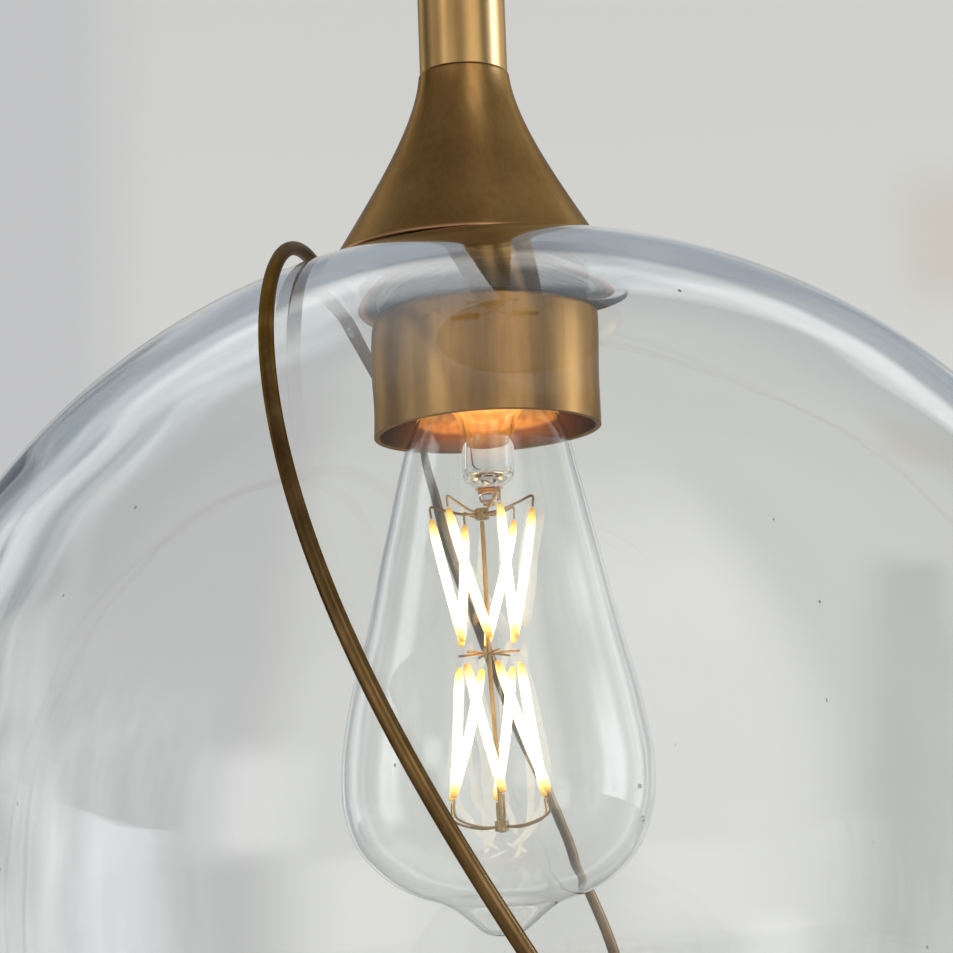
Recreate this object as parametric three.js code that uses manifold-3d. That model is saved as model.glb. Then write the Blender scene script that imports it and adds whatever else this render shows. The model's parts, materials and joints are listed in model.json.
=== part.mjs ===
// Pendant ceiling light: canopy, swivel, rod, flared cap, clear blown globe, bent wire ring, bulb.
// Millimetres, +Z up. The origin is on the ceiling plane, at the middle of the canopy.
import * as THREE from 'three';
import { mergeVertices } from 'three/addons/utils/BufferGeometryUtils.js';
import Module from 'manifold-3d';

const wasm = await Module();
wasm.setup();

// Driving dimensions
const GAP = 0.3; // clearance between pieces that touch
const GLOBE_HEIGHT = -372; // globe centre below the ceiling
const GLOBE_SIDE = 7; // the globe's centre is this far off the rod's axis, along X
const GLOBE_RADIUS = 134.2;
const BORE_RADIUS = 128.5; // inside of the blown wall
const BORE_SIDE = 3.5; // the inside is off centre by this much, so one wall is thick
const SEAT_HEIGHT = 130.6; // flat ground into the top of the globe, above its centre
const SEAT_RADIUS = 31.8;
const HOLE_RADIUS = 19.8; // hole in the top of the globe
const MOUTH_RADIUS = 58; // opening in the bottom of the globe

const CANOPY_RADIUS = 62.5;
const CANOPY_DEPTH = 24;
const CANOPY_WALL = 1.4;
const STUD_SPACING = 70;
const BOX_SCREW_SPACING = 89;
const BAR_LENGTH = 104;
const BAR_WIDTH = 18;
const BAR_THICKNESS = 2;

const PIVOT_HEIGHT = -38; // tilt axis of the swivel
const CHEEK_INNER = 9.7;
const CHEEK_THICKNESS = 3;
const CHEEK_RADIUS = 8;

const ROD_RADIUS = 9.3;
const ROD_BORE = 7.9;
const ROD_TOP = -48.3;
const CAP_TOP = 171.8; // above the globe's centre, like all heights in the shade group
const CAP_RIM = 131.2;
const CAP_RIM_RADIUS = 29;
const NIPPLE_RADIUS = 5;
const NIPPLE_BORE = 3.3;
const LEAD_RADIUS = 0.9;

const CUP_RADIUS = 24.3;
const CUP_WALL = 1.2;
const CUP_BOTTOM = 95.4;
const CUP_TOP = 123;
const SOCKET_RADIUS = 16.5;
const SOCKET_BOTTOM = 105;
const SOCKET_TOP = 141;
const SHELL_RADIUS = 13.1; // lamp base over its thread

const RING_RADIUS = 137.5; // centre line of the wire, from the globe's centre
const RING_WIRE = 1.42;
const RING_LEAN = 20.5; // degrees that the ring's plane leans off upright
const RING_TURN = -3.3; // degrees that it is turned about Z
const RING_BOW = 3.9; // the bent hoop is not flat: how far it bows, and its two slow waves
const RING_WAVE_2 = [-2.4, -6.7];
const RING_WAVE_3 = [-3.1, -3.0];

// Materials
const finish = (color, roughness, metalness) => new THREE.MeshStandardMaterial({ color, roughness, metalness });
const SATIN_BRASS = finish(0x86683f, 0.38, 1);
const BRIGHT_BRASS = finish(0xae8a4e, 0.22, 1);
const BRONZE = finish(0x6b4a2b, 0.35, 1);
const STEEL = finish(0xb4b6b8, 0.35, 1);
const BASE_METAL = finish(0xc9cacb, 0.25, 1);
const PORCELAIN = finish(0xe6ddcb, 0.4, 0);
const RUBBER = finish(0x2b2b2d, 0.8, 0);
const CLEAR_RUBBER = finish(0xe4e6e4, 0.3, 0);
const WIRE_NUT = finish(0xd0a32c, 0.5, 0);
const INSULATION = finish(0xe9e6dc, 0.5, 0);
const BLACK_GLASS = finish(0x1b1a1c, 0.2, 0);
const GLASS = new THREE.MeshStandardMaterial({ color: 0xdfe8e8, roughness: 0.03, transparent: true, opacity: 0.25 });
const LIT_PHOSPHOR = new THREE.MeshStandardMaterial({ color: 0xffd27a, roughness: 0.6, emissive: 0xffc766 });

// Geometry helpers
function closed(geometry) {
  geometry.deleteAttribute('normal');
  geometry.deleteAttribute('uv');
  const merged = mergeVertices(geometry, 1e-4);
  const corner = [new THREE.Vector3(), new THREE.Vector3(), new THREE.Vector3()];
  const index = [];
  let volume = 0;
  for (let i = 0; i < merged.index.count; i += 3) {
    const ids = [0, 1, 2].map((k) => merged.index.getX(i + k));
    if (new Set(ids).size < 3) continue;
    ids.forEach((id, k) => corner[k].fromBufferAttribute(merged.attributes.position, id));
    volume += corner[0].dot(corner[1].clone().cross(corner[2]));
    index.push(ids);
  }
  merged.setIndex((volume < 0 ? index.map(([a, b, c]) => [a, c, b]) : index).flat());
  merged.computeVertexNormals();
  return merged;
}

function toSolid(geometry) {
  const vertProperties = new Float32Array(geometry.attributes.position.array);
  const triVerts = new Uint32Array(geometry.index.array);
  return new wasm.Manifold(new wasm.Mesh({ numProp: 3, vertProperties, triVerts }));
}

function fromSolid(solid) {
  const { vertProperties, triVerts } = solid.getMesh();
  const geometry = new THREE.BufferGeometry();
  geometry.setAttribute('position', new THREE.BufferAttribute(new Float32Array(vertProperties), 3));
  geometry.setIndex(new THREE.BufferAttribute(new Uint32Array(triVerts), 1));
  geometry.computeVertexNormals();
  return geometry;
}

const cut = (base, ...tools) => fromSolid(tools.reduce((solid, tool) => solid.subtract(toSolid(tool)), toSolid(base)));
const join = (base, ...more) => fromSolid(more.reduce((solid, piece) => solid.add(toSolid(piece)), toSolid(base)));

// An outline of [radius, height] pairs turned about Z. It starts and ends on the axis, or closes.
function turned(outline, segments = 32) {
  const points = outline.map(([radius, height]) => new THREE.Vector2(radius, height));
  return closed(new THREE.LatheGeometry(points, segments).rotateX(Math.PI / 2));
}

const disc = (radius, low, high, segments = 24) =>
  turned([[0, low], [radius, low], [radius, high], [0, high]], segments);

const collar = (inner, outer, low, high, segments = 32) =>
  turned([[inner, low], [outer, low], [outer, high], [inner, high], [inner, low]], segments);

// Points of an elliptic arc, in degrees, as [radius, height] pairs.
function arc(centre, radii, from, to, steps) {
  return Array.from({ length: steps + 1 }, (_, i) => {
    const angle = THREE.MathUtils.degToRad(from + ((to - from) * i) / steps);
    return [centre[0] + radii[0] * Math.cos(angle), centre[1] + radii[1] * Math.sin(angle)];
  });
}

function bezier(start, pull1, pull2, end, steps) {
  const points = [start, pull1, pull2, end].map(([x, y]) => new THREE.Vector2(x, y));
  return new THREE.CubicBezierCurve(...points).getPoints(steps).map((p) => [p.x, p.y]);
}

function ball(radius, segments) {
  return closed(new THREE.SphereGeometry(radius, segments, segments / 2).rotateX(Math.PI / 2));
}

// A wire of round section along a curve.
function wire(curve, radius, steps, sides = 8, bore = 0) {
  const section = new THREE.Shape();
  section.absarc(0, 0, radius, 0, Math.PI * 2);
  if (bore > 0) section.holes.push(new THREE.Path().absarc(0, 0, bore, 0, Math.PI * 2, true));
  const settings = { steps, bevelEnabled: false, extrudePath: curve, curveSegments: sides / 2 };
  return closed(new THREE.ExtrudeGeometry(section, settings));
}

const route = (...points) => new THREE.CatmullRomCurve3(points.map((p) => new THREE.Vector3(...p)));
const straight = (from, to) => new THREE.LineCurve3(new THREE.Vector3(...from), new THREE.Vector3(...to));
const spoke = (from, to, radius) => wire(straight(from, to), radius, 1, 6);

function hexNut(acrossFlats, bore, low, high) {
  const corner = acrossFlats / Math.sqrt(3);
  const turn = (k) => [corner * Math.cos((k * Math.PI) / 3), corner * Math.sin((k * Math.PI) / 3)];
  const outline = new THREE.Shape([0, 1, 2, 3, 4, 5].map((k) => new THREE.Vector2(...turn(k))));
  outline.holes.push(new THREE.Path().absarc(0, 0, bore, 0, Math.PI * 2, true));
  const settings = { depth: high - low, bevelEnabled: false, curveSegments: 10 };
  return closed(new THREE.ExtrudeGeometry(outline, settings).translate(0, 0, low));
}

function piece(name, geometry, material) {
  const mesh = new THREE.Mesh(geometry, material);
  mesh.name = name;
  return mesh;
}

// Ceiling end
function canopy() {
  const flat = 44;
  const lip = 57.5;
  const side = -6;
  const inner = CANOPY_RADIUS - CANOPY_WALL;
  const floor = -CANOPY_DEPTH + CANOPY_WALL;
  const outline = [
    [5.6, -CANOPY_DEPTH],
    ...arc([flat, side], [CANOPY_RADIUS - flat, CANOPY_DEPTH + side], -90, 0, 6),
    [CANOPY_RADIUS, 0],
    [lip, 0],
    [lip, -CANOPY_WALL],
    [inner, -CANOPY_WALL],
    ...arc([flat, side], [inner - flat, side - floor], 0, -90, 6),
    [5.6, floor],
    [5.6, -CANOPY_DEPTH],
  ];
  const hole = (x) => disc(2.4, -30, -18, 16).translate(x, 0, 0);
  return cut(turned(outline, 40), hole(-STUD_SPACING / 2), hole(STUD_SPACING / 2));
}

function crossbar() {
  const box = new THREE.BoxGeometry(BAR_LENGTH, BAR_WIDTH, BAR_THICKNESS).translate(0, 0, -BAR_THICKNESS / 2);
  const places = [STUD_SPACING / 2, BOX_SCREW_SPACING / 2].flatMap((x) => [-x, x]);
  const holes = places.map((x) => disc(2.4, -5, 5, 16).translate(x, 0, 0));
  return cut(closed(box), disc(NIPPLE_RADIUS, -5, 5), ...holes);
}

function boxScrew() {
  const under = -BAR_THICKNESS - GAP;
  const dome = arc([0, under - 1], [4, 2], 0, -90, 3);
  return turned([[0, -0.1], [2, -0.1], [2, under], [4, under], ...dome], 16);
}

function capNut() {
  const face = -CANOPY_DEPTH - GAP;
  const dome = arc([0, face - 4.6], [4.6, 4.4], 20, -90, 7);
  return turned([[0, face - 4.4], [2.3, face - 4.4], [2.3, face], [5.4, face], [5.4, face - 1.6], ...dome], 20);
}

function wireNut() {
  const cone = turned([[0, 0], [4.2, 0], [6, -15], [6, -18], [2.6, -18], [2.6, -8], [0, -8]], 12);
  return cone.rotateY(Math.PI / 2);
}

const canopyLead = (side) =>
  wire(route([side * 9.5, -16, -12], [side * 6, -15, -11], [side * 2, -6, -9], [side * 1.5, -1, -10],
    [side * 1.4, 0, -15], [side * 1.4, 0, -23]), LEAD_RADIUS, 16, 6);

function ceilingEnd() {
  const group = new THREE.Group();
  group.add(piece('canopy', canopy(), SATIN_BRASS), piece('crossbar', crossbar(), STEEL));
  [-1, 1].forEach((side, i) => {
    const number = i + 1;
    const screw = piece(`box_screw_${number}`, boxScrew(), STEEL);
    screw.position.x = (side * BOX_SCREW_SPACING) / 2;
    const stud = piece(`canopy_stud_${number}`, disc(2, -28, -0.1, 12), STEEL);
    stud.position.x = (side * STUD_SPACING) / 2;
    const nut = piece(`cap_nut_${number}`, capNut(), SATIN_BRASS);
    nut.position.x = (side * STUD_SPACING) / 2;
    const connector = piece(`wire_nut_${number}`, wireNut(), WIRE_NUT);
    connector.position.set(side * 28, -16, -12);
    connector.rotation.z = side < 0 ? Math.PI : 0;
    group.add(screw, stud, nut, connector, piece(`canopy_lead_${number}`, canopyLead(side), INSULATION));
  });
  return group;
}

// Swivel: the yoke turns in the canopy, and the knuckle tilts between its cheeks
function yoke() {
  const top = -CANOPY_DEPTH - GAP;
  const low = top - 3.5;
  const base = turned([[3.2, low], [15, low], [15, top], [5.2, top], [5.2, -12], [3.2, -12], [3.2, low]], 32);
  const cheek = new THREE.Shape();
  cheek.moveTo(-CHEEK_RADIUS, low + 1);
  cheek.lineTo(-CHEEK_RADIUS, PIVOT_HEIGHT);
  cheek.absarc(0, PIVOT_HEIGHT, CHEEK_RADIUS, Math.PI, Math.PI * 2);
  cheek.lineTo(CHEEK_RADIUS, low + 1);
  cheek.holes.push(new THREE.Path().absarc(0, PIVOT_HEIGHT, 2.1, 0, Math.PI * 2, true));
  const settings = { depth: CHEEK_THICKNESS, bevelEnabled: false, curveSegments: 8 };
  const plate = new THREE.ExtrudeGeometry(cheek, settings).rotateX(Math.PI / 2).rotateZ(Math.PI / 2);
  const right = closed(plate.clone().translate(CHEEK_INNER, 0, 0));
  const left = closed(plate.translate(-CHEEK_INNER - CHEEK_THICKNESS, 0, 0));
  return join(base, right, left);
}

function trunnionScrew() {
  const face = CHEEK_INNER + CHEEK_THICKNESS + GAP;
  const head = arc([0, face + 1], [3.4, 1.6], 0, 90, 3);
  return turned([[0, 5.6], [1.8, 5.6], [1.8, face], [3.4, face], ...head], 14).rotateY(Math.PI / 2);
}

function knuckle() {
  const bore = 4.4;
  const body = 8.9;
  const crown = 9.3;
  const low = Math.asin(Math.sqrt(crown ** 2 - body ** 2) / crown) * THREE.MathUtils.RAD2DEG;
  const high = Math.acos(bore / crown) * THREE.MathUtils.RAD2DEG;
  const outline = [
    [bore, -58],
    [ROD_BORE - GAP, -58],
    [ROD_BORE - GAP, ROD_TOP + GAP],
    [ROD_RADIUS, ROD_TOP + GAP],
    [ROD_RADIUS, -46.4],
    [body, -46.2],
    ...arc([0, PIVOT_HEIGHT], [crown, crown], low, high, 5),
    [bore, -58],
  ];
  const hole = closed(new THREE.CylinderGeometry(2.1, 2.1, 40, 16).rotateZ(Math.PI / 2));
  return cut(turned(outline, 24), hole.translate(0, 0, PIVOT_HEIGHT));
}

function swivel() {
  const group = new THREE.Group();
  group.add(piece('swivel_yoke', yoke(), SATIN_BRASS));
  group.add(piece('yoke_nut', hexNut(15, 5.5, -CANOPY_DEPTH + CANOPY_WALL + GAP, -18.2), STEEL));
  group.add(piece('rod_knuckle', knuckle(), SATIN_BRASS));
  [-1, 1].forEach((side, i) => {
    const screw = piece(`trunnion_screw_${i + 1}`, trunnionScrew(), SATIN_BRASS);
    screw.position.z = PIVOT_HEIGHT;
    screw.rotation.z = side > 0 ? 0 : Math.PI;
    group.add(screw);
  });
  return group;
}

// Rod and what hangs on its nipple. Heights in this group are above the globe's centre.
function cap() {
  const outside = bezier([9.6, CAP_TOP], [10.6, 160.5], [21, 144.5], [CAP_RIM_RADIUS, CAP_RIM], 11);
  const inside = bezier([CAP_RIM_RADIUS - 1.3, CAP_RIM], [19.6, 143.5], [9.6, 157], [8.6, 166.5], 8);
  return turned([[5.3, CAP_TOP], ...outside, ...inside, [5.3, 166.5], [5.3, CAP_TOP]], 40);
}

// A U-shaped strap from the nipple down to the seat plate.
function hangerStrap() {
  const half = [[0, 156.6], [8.5, 156.6], [10, 155], [10.9, 150.5], [19.8, 139.5], [19.8, 134.3],
    [18.3, 134.3], [18.3, 139], [9.4, 150], [8.6, 155], [0, 155]];
  const mirrored = half.slice(1, -1).map(([x, z]) => [-x, z]).reverse();
  const outline = new THREE.Shape([...half, ...mirrored].map(([x, z]) => new THREE.Vector2(x, z)));
  const strap = new THREE.ExtrudeGeometry(outline, { depth: 13, bevelEnabled: false }).translate(0, 0, -6.5);
  return cut(closed(strap.rotateX(Math.PI / 2)), disc(NIPPLE_RADIUS + GAP, 150, 170));
}

function socketCup() {
  const round = 2.5;
  const inner = CUP_RADIUS - CUP_WALL;
  const shoulder = arc([CUP_RADIUS - round, CUP_TOP - round], [round, round], 0, 90, 4);
  const outline = [
    [inner, CUP_BOTTOM],
    [CUP_RADIUS, CUP_BOTTOM],
    ...shoulder,
    [SOCKET_RADIUS + 0.5, CUP_TOP],
    [SOCKET_RADIUS + 0.5, CUP_TOP - 1.4],
    [inner - 1, CUP_TOP - 1.4],
    [inner, CUP_TOP - 2.4],
    [inner, CUP_BOTTOM],
  ];
  return turned(outline, 40);
}

function socketBody() {
  const bore = 14.3;
  const roof = 132.6;
  return turned([
    [bore, SOCKET_BOTTOM], [SOCKET_RADIUS, SOCKET_BOTTOM], [SOCKET_RADIUS, 134.3], [17.9, 134.3],
    [17.9, 136.3], [SOCKET_RADIUS, 136.3], [SOCKET_RADIUS, SOCKET_TOP], [0, SOCKET_TOP],
    [0, roof], [bore, roof], [bore, SOCKET_BOTTOM],
  ], 32);
}

// A thin sleeve with rolled thread ridges between two heights.
function threadedShell({ outer, wall, depth, low, high }, crown) {
  const ridges = 5;
  const pitch = (high - low) / ridges;
  const wavy = (radius) => Array.from({ length: ridges * 2 + 1 }, (_, i) =>
    [radius - (i % 2 ? 0 : depth), low + (i * pitch) / 2]);
  return turned([...wavy(outer), ...crown, ...wavy(outer - wall).reverse(), [outer - depth, low]], 20);
}

// The soft washer under the globe follows the slope of the blown wall.
function lowerGasket() {
  const roof = ball(BORE_RADIUS - 0.6, 60).translate(GLOBE_SIDE + BORE_SIDE, 0, 0);
  return fromSolid(toSolid(collar(20.4, 22.2, CUP_TOP + GAP, 129, 32)).intersect(toSolid(roof)));
}

const socketLead = (side) =>
  wire(route([side * 1.4, 0, 341], [side * 1.4, 0, 250], [side * 1.4, 0, 160], [side * 3, 0, 150],
    [side * 7, 0, 147], [side * 8, 0, 145]), LEAD_RADIUS, 20, 6);

function rodAndHolder() {
  const group = new THREE.Group();
  const rodTop = ROD_TOP - GLOBE_HEIGHT;
  group.add(piece('rod', collar(ROD_BORE, ROD_RADIUS, CAP_TOP + GAP, rodTop, 32), BRIGHT_BRASS));
  group.add(piece('rod_bush', collar(NIPPLE_RADIUS + GAP, ROD_BORE - GAP, CAP_TOP + GAP, 184, 24), STEEL));
  group.add(piece('nipple', collar(NIPPLE_BORE, NIPPLE_RADIUS, 152, 186, 20), STEEL));
  group.add(piece('cap', cap(), SATIN_BRASS));
  group.add(piece('nipple_nut', hexNut(13, NIPPLE_RADIUS + GAP, 157, 161.5), STEEL));
  group.add(piece('hanger_strap', hangerStrap(), STEEL));
  group.add(piece('seat_plate', collar(SOCKET_RADIUS + 0.5, 25, 132.5, 134, 32), STEEL));
  group.add(piece('upper_gasket', collar(20.4, 23.6, SEAT_HEIGHT + GAP, 132.2, 32), RUBBER));
  group.add(piece('hole_sleeve', collar(17.3, 19.4, CUP_TOP + GAP, 132.2, 32), RUBBER));
  group.add(piece('lower_gasket', lowerGasket(), RUBBER));
  group.add(piece('socket_cup', socketCup(), SATIN_BRASS));
  group.add(piece('socket_ring', collar(SOCKET_RADIUS + GAP, 22, 117.4, 121.3, 32), BLACK_GLASS));
  group.add(piece('socket_body', socketBody(), PORCELAIN));
  const female = { outer: 14, wall: 0.35, depth: 0.2, low: 105.6, high: 130.6 };
  group.add(piece('socket_shell', threadedShell(female, [[14, 131], [13.65, 131]]), BRIGHT_BRASS));
  group.add(piece('socket_contact', disc(4, 131.6, 132.3, 16), BRIGHT_BRASS));
  [-1, 1].forEach((side, i) => {
    const dome = arc([0, 142.4], [2.8, 1.4], 0, 90, 3);
    const screw = turned([[0, SOCKET_TOP + GAP], [2.8, SOCKET_TOP + GAP], ...dome], 14);
    const terminal = piece(`terminal_screw_${i + 1}`, screw, BRIGHT_BRASS);
    terminal.position.x = side * 8;
    group.add(terminal, piece(`socket_lead_${i + 1}`, socketLead(side), INSULATION));
  });
  return group;
}

function globe() {
  const outside = ball(GLOBE_RADIUS, 40).translate(GLOBE_SIDE, 0, 0);
  const inside = ball(BORE_RADIUS, 40).translate(GLOBE_SIDE + BORE_SIDE, 0, 0);
  const mouth = disc(MOUTH_RADIUS, -160, -90, 48).translate(GLOBE_SIDE, 0, 0);
  return cut(outside, inside, disc(SEAT_RADIUS, SEAT_HEIGHT, 160, 48), disc(HOLE_RADIUS, 110, 160, 40), mouth);
}

// The ring's centre line lies on a sphere about the globe's centre, and its waves are along that sphere.
class RingLine extends THREE.Curve {
  constructor(from, to) {
    super();
    this.from = from;
    this.to = to;
    const [lean, turn] = [RING_LEAN, RING_TURN].map(THREE.MathUtils.degToRad);
    this.normal = new THREE.Vector3(Math.cos(lean) * Math.cos(turn), Math.cos(lean) * Math.sin(turn), Math.sin(lean));
    this.level = this.normal.clone().cross(new THREE.Vector3(0, 0, 1)).normalize();
    this.rise = this.level.clone().cross(this.normal);
  }

  getPoint(t, target = new THREE.Vector3()) {
    const a = THREE.MathUtils.degToRad(this.from + (this.to - this.from) * t);
    const wave = RING_BOW + RING_WAVE_2[0] * Math.cos(2 * a) + RING_WAVE_2[1] * Math.sin(2 * a)
      + RING_WAVE_3[0] * Math.cos(3 * a) + RING_WAVE_3[1] * Math.sin(3 * a);
    target.copy(this.level).multiplyScalar(Math.cos(a));
    target.addScaledVector(this.rise, Math.sin(a)).addScaledVector(this.normal, wave / RING_RADIUS);
    return target.normalize().multiplyScalar(RING_RADIUS);
  }
}

// The hoop is one wire whose ends meet in a sleeve at the bottom. A clear bumper rides on the globe.
function ring() {
  const group = new THREE.Group();
  const halfGap = THREE.MathUtils.radToDeg(GAP / 2 / RING_RADIUS);
  const hoop = wire(new RingLine(-90 + halfGap, 270 - halfGap), RING_WIRE, 72);
  const sleeve = wire(new RingLine(-93, -87), RING_WIRE + 0.9, 3, 12, RING_WIRE + GAP);
  const bumperLine = new RingLine(91, 93.4);
  const shrink = 1 - (RING_WIRE + GAP + 0.6) / RING_RADIUS;
  const bumper = wire(bumperLine, 0.55, 3, 8).scale(shrink, shrink, shrink);
  group.add(piece('ring', hoop, BRONZE), piece('ring_sleeve', sleeve, BRONZE));
  group.add(piece('ring_bumper', bumper, CLEAR_RUBBER));
  group.position.x = GLOBE_SIDE;
  return group;
}

// Bulb
const BULB_OUTLINE = [
  [0, -9.6], [3.4, -9.1], [6.2, -7], [10.8, -3.2], [16.8, -0.9], [23, 2.8], [28.6, 8.8], [31.4, 16.2],
  [32, 23.5], [31.5, 30], [29.5, 40], [26.3, 53], [23.4, 68], [20.3, 80], [17.6, 92], [15.6, 98.5],
  [13.2, 103.6], [11.6, 107], [11.6, 110],
];

function bulbEnvelope() {
  const wall = 0.9;
  const curve = new THREE.SplineCurve(BULB_OUTLINE.map(([radius, height]) => new THREE.Vector2(radius, height)));
  const steps = 20;
  const outside = [];
  const inside = [];
  for (let i = 0; i <= steps; i += 1) {
    const point = curve.getPoint(i / steps);
    const along = curve.getTangent(i / steps);
    outside.push([i === 0 ? 0 : point.x, point.y]);
    inside.push([i === 0 ? 0 : point.x - along.y * wall, point.y + along.x * wall]);
  }
  return turned([...outside, ...inside.reverse()], 28);
}

const glassStem = () => turned([
  [0, 78.6], [2, 79.4], [2.4, 81.6], [5.6, 83.6], [5.6, 96], [7.4, 100.5], [11, 104.6], [11, 105.6], [0, 105.6],
], 20);

const around = (radius, degrees, height) => {
  const angle = THREE.MathUtils.degToRad(degrees);
  return [radius * Math.cos(angle), radius * Math.sin(angle), height];
};

// Each tier has six filaments that lean round the axis, wide at one end and narrow at the waist.
const FILAMENT_RADIUS = 1;
const TIERS = [
  { name: 'upper', top: [11, 52, 77.2], low: [6.3, 95, 50.3] },
  { name: 'lower', top: [6.5, 45, 45.4], low: [11, 95, 18.7] },
];
const spaced = (end, k) => around(end[0], end[1] + 60 * k, end[2]);

function upperSupports() {
  const spokes = [0, 1, 2, 3, 4, 5].flatMap((k) => [
    spoke([0, 0, 77.2], around(11, 52 + 60 * k, 79.4), 0.25),
    spoke(around(11, 52 + 60 * k, 79.7), around(11, 52 + 60 * k, 77.6), 0.3),
  ]);
  return join(disc(1.5, 76.4, 78.2, 12), ...spokes);
}

function lowerSupports() {
  const spokes = [0, 1, 2, 3, 4, 5].flatMap((k) => [
    spoke([0, 0, 47.9], around(6.4, 50 + 60 * k, 47.9), 0.25),
    spoke([0, 0, 12.6], around(11, 95 + 60 * k, 14.6), 0.25),
    spoke(around(11, 95 + 60 * k, 14.3), around(11, 95 + 60 * k, 18.2), 0.3),
  ]);
  return join(disc(0.55, 13, 76, 10), disc(1.4, 11.6, 13.6, 12), ...spokes);
}

function bulb() {
  const group = new THREE.Group();
  group.add(piece('bulb_envelope', bulbEnvelope(), GLASS), piece('bulb_glass_stem', glassStem(), GLASS));
  const male = { outer: SHELL_RADIUS, wall: 0.55, depth: 0.5, low: 107.6, high: 126 };
  const shoulder = [[12.4, 127.4], [9.6, 128.6], [8.9, 128.2], [11.6, 127]];
  group.add(piece('bulb_shell', threadedShell(male, shoulder), BASE_METAL));
  const button = turned([[0, 127], [8, 127.6], [8.6, 129], [5, 130.4], [0, 130.4]], 20);
  group.add(piece('bulb_insulator', button, BLACK_GLASS));
  group.add(piece('bulb_contact', disc(3.8, 130.7, 131.3, 16), BASE_METAL));
  // The filament cage leans slightly, about its lower end.
  const cage = new THREE.Group();
  const foot = TIERS[1].low[2];
  cage.add(piece('bulb_upper_supports', upperSupports(), BRIGHT_BRASS));
  cage.add(piece('bulb_lower_supports', lowerSupports(), BRIGHT_BRASS));
  TIERS.forEach(({ name, top, low }) => [0, 1, 2, 3, 4, 5].forEach((k) => {
    const line = straight(spaced(top, k), spaced(low, k));
    cage.add(piece(`filament_${name}_${k + 1}`, wire(line, FILAMENT_RADIUS, 1, 10), LIT_PHOSPHOR));
  }));
  cage.children.forEach((mesh) => mesh.geometry.translate(0, 0, -foot));
  cage.position.z = foot;
  cage.rotation.y = THREE.MathUtils.degToRad(-1.6);
  group.add(cage);
  return group;
}

const shade = new THREE.Group();
shade.position.z = GLOBE_HEIGHT;
shade.add(rodAndHolder(), piece('globe', globe(), GLASS), ring(), bulb());

const pendant = new THREE.Group();
pendant.add(ceilingEnd(), swivel(), shade);

export default pendant;
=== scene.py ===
# Looks for the pendant ceiling light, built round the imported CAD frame. Metres, +Z up, as in the frame.
import json
import math
import random

import bmesh
import bpy
from mathutils import Matrix, Vector, noise

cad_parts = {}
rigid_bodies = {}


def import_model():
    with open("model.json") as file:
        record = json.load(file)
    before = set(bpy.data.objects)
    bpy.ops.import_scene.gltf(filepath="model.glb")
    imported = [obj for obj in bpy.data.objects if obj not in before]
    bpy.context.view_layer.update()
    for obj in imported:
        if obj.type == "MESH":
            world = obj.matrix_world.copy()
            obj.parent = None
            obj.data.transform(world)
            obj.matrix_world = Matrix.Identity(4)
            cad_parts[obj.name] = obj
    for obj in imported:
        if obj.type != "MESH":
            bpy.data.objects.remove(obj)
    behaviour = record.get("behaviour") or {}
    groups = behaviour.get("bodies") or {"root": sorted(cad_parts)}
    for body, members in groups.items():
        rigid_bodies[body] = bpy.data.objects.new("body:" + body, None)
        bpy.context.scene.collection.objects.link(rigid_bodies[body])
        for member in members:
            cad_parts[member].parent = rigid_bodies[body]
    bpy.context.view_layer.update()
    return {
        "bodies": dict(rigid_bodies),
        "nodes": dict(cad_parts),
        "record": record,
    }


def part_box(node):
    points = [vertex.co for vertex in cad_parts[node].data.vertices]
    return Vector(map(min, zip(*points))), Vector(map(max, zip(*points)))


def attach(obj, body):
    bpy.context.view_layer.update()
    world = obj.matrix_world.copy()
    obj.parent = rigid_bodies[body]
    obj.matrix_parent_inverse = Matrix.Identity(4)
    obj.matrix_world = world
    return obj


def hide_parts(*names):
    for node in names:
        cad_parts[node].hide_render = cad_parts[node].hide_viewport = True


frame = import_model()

MM = 0.001
DICE = random.Random(7)

# Places, from the frame
GLOBE_LOW, GLOBE_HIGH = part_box("globe")
GLOBE_RADIUS = (GLOBE_HIGH.x - GLOBE_LOW.x) / 2
MOUTH_RADIUS = 58 * MM
CENTRE = Vector((
    (GLOBE_LOW.x + GLOBE_HIGH.x) / 2,
    0,
    GLOBE_LOW.z + math.sqrt(GLOBE_RADIUS**2 - MOUTH_RADIUS**2),
))


def extent(node):
    """(half the width along X, bottom, top) of a CAD node."""
    low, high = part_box(node)
    return (high.x - low.x) / 2, low.z, high.z


def level(height):
    """A height in millimetres above the globe's centre, in the frame."""
    return CENTRE.z + height * MM


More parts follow.
